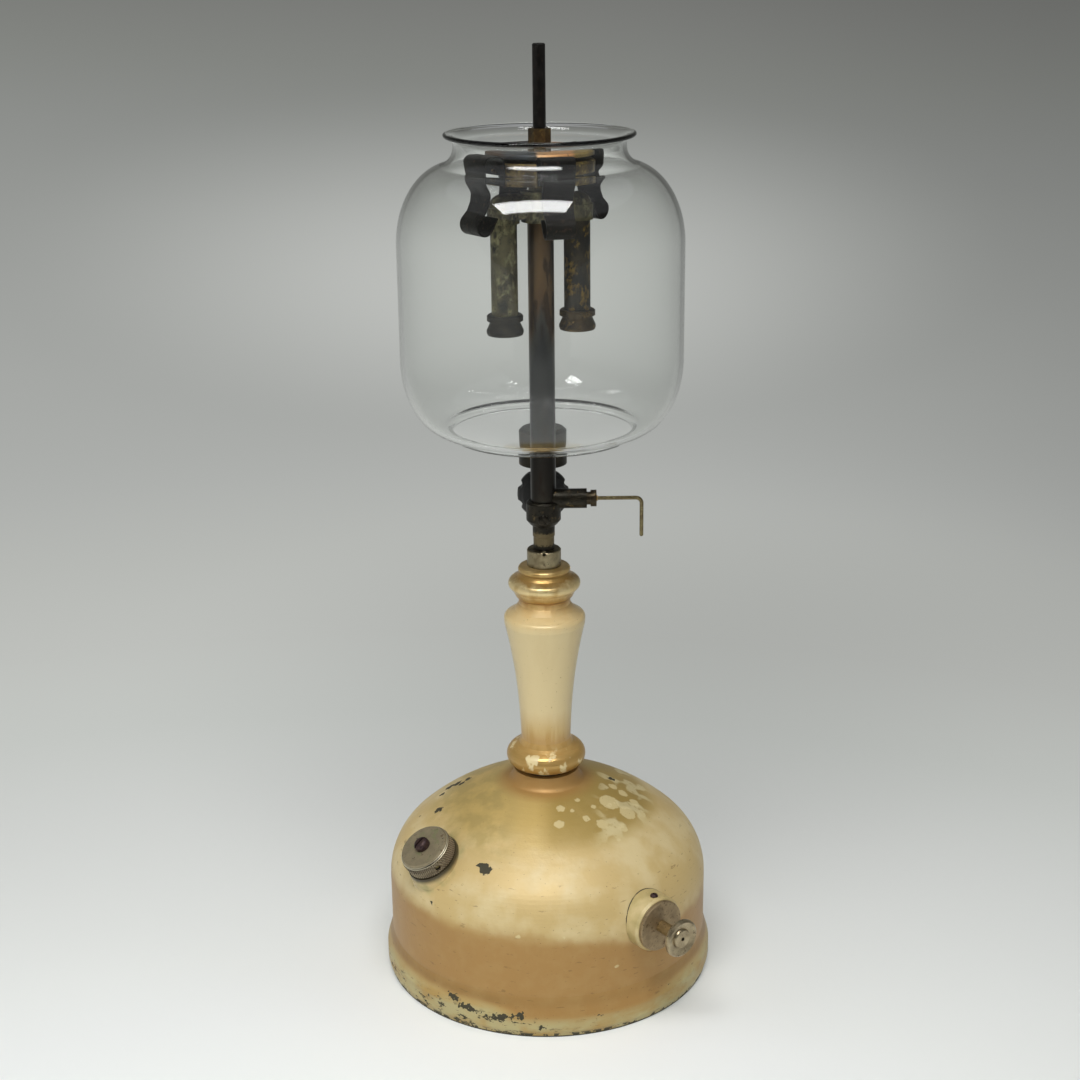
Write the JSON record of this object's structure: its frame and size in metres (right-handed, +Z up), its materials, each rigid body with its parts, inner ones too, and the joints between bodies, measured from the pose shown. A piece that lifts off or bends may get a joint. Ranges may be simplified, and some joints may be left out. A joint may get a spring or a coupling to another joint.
{
  "type": "pressure table lamp",
  "caption": "Kerosene pressure table lamp with painted pump font, turned column, valve with tip cleaner, twin mantle burner and clip-held glass globe.",
  "frame": {"origin": "on the lamp's axis, in the plane that the foot stands on", "axes": "+Z up along the lamp's axis, front (towards the viewer of the picture) is -Y, +X to the right"},
  "size_m": [0.178, 0.1828, 0.4906],
  "materials": {
    "font_paint": "worn bronze-gold enamel",
    "column_paint": "cream enamel with gold shading",
    "nickel": "aged nickel plate",
    "pump_steel": "dull plated steel",
    "raw_brass": "plain brass",
    "blackened_brass": "oxidised brass",
    "brown_brass": "heat-browned brass",
    "verdigris_brass": "mottled old brass",
    "tinned_steel": "inside of the font base",
    "spring_steel": "blued spring steel",
    "copper_scale": "heat-coloured copper plate",
    "black_iron": "blackened iron rod",
    "glass": "clear blown borosilicate",
    "leather": "oiled pump leather",
    "gasket": "rubber gasket",
    "fibre": "fibre and graphite packing",
    "knob_black": "pressed heat-proof knob",
    "screw_steel": "browned steel screw"
  },
  "bodies": {
    "lamp": {"tank_shell": "font_paint", "base_plate": "tinned_steel", "filler_collar": "font_paint", "pump_collar": "font_paint", "collar_screw": "screw_steel", "pump_cylinder": "raw_brass", "pump_cap": "pump_steel", "check_valve": "raw_brass", "column_washer": "fibre", "stem_column": "column_paint", "riser_pipe": "raw_brass", "pickup_tube": "raw_brass", "pickup_strainer": "raw_brass", "collar_nut": "nickel", "valve_body": "blackened_brass", "valve_plug_screw": "blackened_brass", "valve_packing_nut": "blackened_brass", "valve_packing": "fibre", "cleaner_gland_nut": "brown_brass", "cleaner_packing": "fibre", "generator_tube": "blackened_brass", "gas_tip": "raw_brass", "air_bell": "blackened_brass", "air_tube": "brown_brass", "burner_manifold": "verdigris_brass", "mantle_tube_left": "verdigris_brass", "mantle_tube_right": "verdigris_brass", "mantle_cap_left": "blackened_brass", "mantle_cap_right": "brown_brass", "cap_screen_left": "spring_steel", "cap_screen_right": "spring_steel", "burner_drum": "brown_brass", "spacer_ring": "verdigris_brass", "heat_plate": "copper_scale", "post_nut": "brown_brass", "shade_post": "black_iron", "globe_clip_rear_right": "spring_steel", "globe_clip_rear": "spring_steel", "globe_clip_left": "spring_steel", "globe_clip_front": "spring_steel", "clip_rivets": "brown_brass"},
    "globe": {"glass_globe": "glass"},
    "cap_seal": {"filler_gasket": "gasket"},
    "cap": {"filler_cap": "nickel"},
    "relief": {"relief_screw": "screw_steel"},
    "air_valve_stem": {"air_stem": "raw_brass"},
    "plunger": {"pump_rod": "raw_brass", "pump_knob": "nickel", "pump_cup": "leather", "cup_retainer": "raw_brass"},
    "valve_handle": {"valve_stem": "blackened_brass", "valve_knob": "knob_black", "knob_screw": "screw_steel"},
    "cleaner_crank": {"cleaner_shaft": "raw_brass", "cleaner_lever": "brown_brass"},
    "cleaning_needle": {"cleaner_needle": "tinned_steel"}
  },
  "joints": [
    {"name": "globe_lift", "type": "slide", "parent": "lamp", "child": "globe", "axis": [0, 0, 1], "range_m": [0, 0.2]},
    {"name": "cap_rise", "type": "slide", "parent": "lamp", "child": "cap_seal", "axis": [-0.4428, -0.317, 0.8387], "range_m": [0, 0.00641]},
    {"name": "cap_turn", "type": "hinge", "parent": "cap_seal", "child": "cap", "pos_m": [-0.05944, -0.04255, 0.07864], "axis": [-0.4428, -0.317, 0.8387], "range_deg": [0, 1440]},
    {"name": "relief_turn", "type": "hinge", "parent": "cap", "child": "relief", "pos_m": [-0.05944, -0.04255, 0.07864], "axis": [-0.4428, -0.317, 0.8387], "range_deg": [0, 360]},
    {"name": "air_stem_turn", "type": "hinge", "parent": "lamp", "child": "air_valve_stem", "pos_m": [0.05796, -0.07527, 0.0566], "axis": [0.6101, -0.7923, 0], "range_deg": [0, 360]},
    {"name": "plunger_stroke", "type": "slide", "parent": "air_valve_stem", "child": "plunger", "axis": [0.6101, -0.7923, 0], "range_m": [-0.008, 0.04]},
    {"name": "valve_turn", "type": "hinge", "parent": "lamp", "child": "valve_handle", "pos_m": [0, 0.03, 0.257], "axis": [0, 1, 0], "range_deg": [0, 360]},
    {"name": "cleaner_turn", "type": "hinge", "parent": "lamp", "child": "cleaner_crank", "pos_m": [0, 0, 0.26331], "axis": [1, 0, 0], "range_deg": [0, 180]},
    {"name": "needle_rise", "type": "slide", "parent": "lamp", "child": "cleaning_needle", "axis": [0, 0, 1], "range_m": [0, 0.00241]}
  ],
  "couplings": [
    {"joint": "cap_rise", "follows": "cap_turn", "m_per_rad": 0.00025465},
    {"joint": "needle_rise", "follows": "cleaner_turn", "m_per_rad": 0.00076394}
  ]
}
